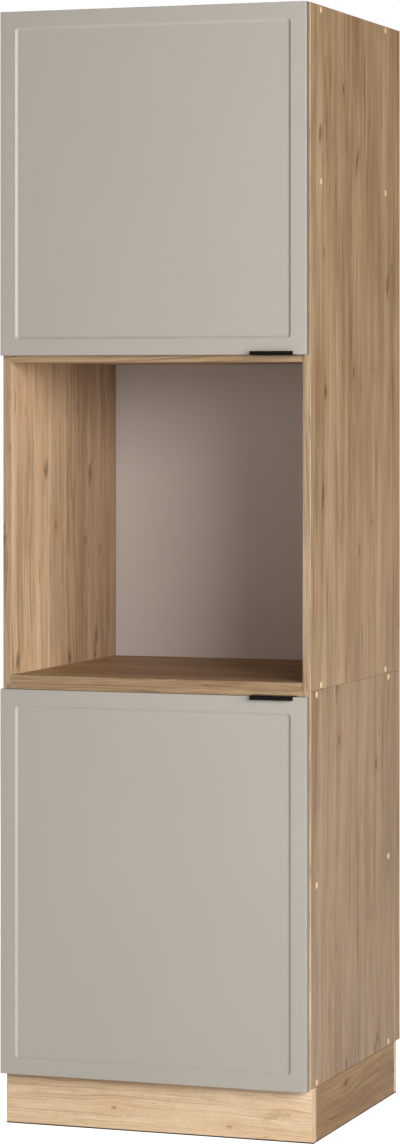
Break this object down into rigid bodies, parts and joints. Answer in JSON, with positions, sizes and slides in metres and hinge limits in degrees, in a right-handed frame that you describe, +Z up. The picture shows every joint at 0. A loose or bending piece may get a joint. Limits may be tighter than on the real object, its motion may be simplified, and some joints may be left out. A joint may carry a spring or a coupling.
{
  "type": "tall oven housing cabinet",
  "caption": "Tall kitchen cabinet with a full plinth, hinged lower and upper doors, and an open niche between them for a built-in oven.",
  "frame": {"origin": "middle of the object's outline seen from above, on the floor", "axes": "+X to the right seen from the front, +Y from the doors to the back, +Z up"},
  "size_m": [0.6016, 0.599, 2.066],
  "materials": {
    "oak_board": "satin oak decor board, grain along the board",
    "oak_band": "satin oak edge band",
    "oak_plinth": "satin oak decor board, grain level",
    "door_lacquer": "satin stone-grey lacquer on fibreboard",
    "back_board": "smooth light grey face on hardboard",
    "beech": "raw beech",
    "handle_black": "matt black anodised",
    "hinge_steel": "nickel-plated, satin",
    "screw_steel": "zinc-plated",
    "angle_steel": "zinc-plated sheet",
    "cap_plastic": "matt cream",
    "seal_plastic": "matt black",
    "bumper_plastic": "translucent soft plastic"
  },
  "bodies": {
    "carcass": {"lower_side_left": "oak_board", "lower_side_right": "oak_board", "lower_bottom": "oak_board", "lower_shelf": "oak_board", "lower_top": "oak_board", "upper_side_left": "oak_board", "upper_side_right": "oak_board", "niche_floor": "oak_board", "niche_ceiling": "oak_board", "upper_shelf": "oak_board", "upper_top": "oak_board", "lower_side_bands": "oak_band", "upper_side_bands": "oak_band", "lower_level_bands": "oak_band", "upper_level_bands": "oak_band", "plinth_front": "oak_plinth", "plinth_rear": "oak_plinth", "plinth_left": "oak_plinth", "plinth_right": "oak_plinth", "plinth_end_bands": "oak_plinth", "lower_back": "back_board", "upper_back": "back_board", "ceiling_dowels": "beech", "plinth_glue_blocks": "beech", "upper_hinge_plates": "hinge_steel", "upper_hinge_arms": "hinge_steel", "lower_hinge_plates": "hinge_steel", "lower_hinge_arms": "hinge_steel", "carcass_screws": "screw_steel", "unit_connectors": "screw_steel", "wall_angle_screws": "screw_steel", "ceiling_cams": "screw_steel", "ceiling_cam_bolts": "screw_steel", "upper_plate_screws": "screw_steel", "upper_arm_screws": "screw_steel", "lower_plate_screws": "screw_steel", "lower_arm_screws": "screw_steel", "wall_angles": "angle_steel", "screw_caps": "cap_plastic", "plinth_seals": "seal_plastic"},
    "upper_door": {"upper_door": "door_lacquer", "upper_handle": "handle_black", "upper_handle_screws": "screw_steel", "upper_hinge_cups": "hinge_steel", "upper_hinge_pins": "hinge_steel", "upper_ear_screws": "screw_steel", "upper_bumpers": "bumper_plastic"},
    "lower_door": {"lower_door": "door_lacquer", "lower_handle": "handle_black", "lower_handle_screws": "screw_steel", "lower_hinge_cups": "hinge_steel", "lower_hinge_pins": "hinge_steel", "lower_ear_screws": "screw_steel", "lower_bumpers": "bumper_plastic"}
  },
  "joints": [
    {"name": "upper_door_hinge", "type": "hinge", "parent": "carcass", "child": "upper_door", "pos_m": [-0.29031, -0.2815, 1.7475], "axis": [0, 0, -1], "range_deg": [0, 95]},
    {"name": "lower_door_hinge", "type": "hinge", "parent": "carcass", "child": "lower_door", "pos_m": [-0.29031, -0.2815, 0.4545], "axis": [0, 0, -1], "range_deg": [0, 95]}
  ]
}
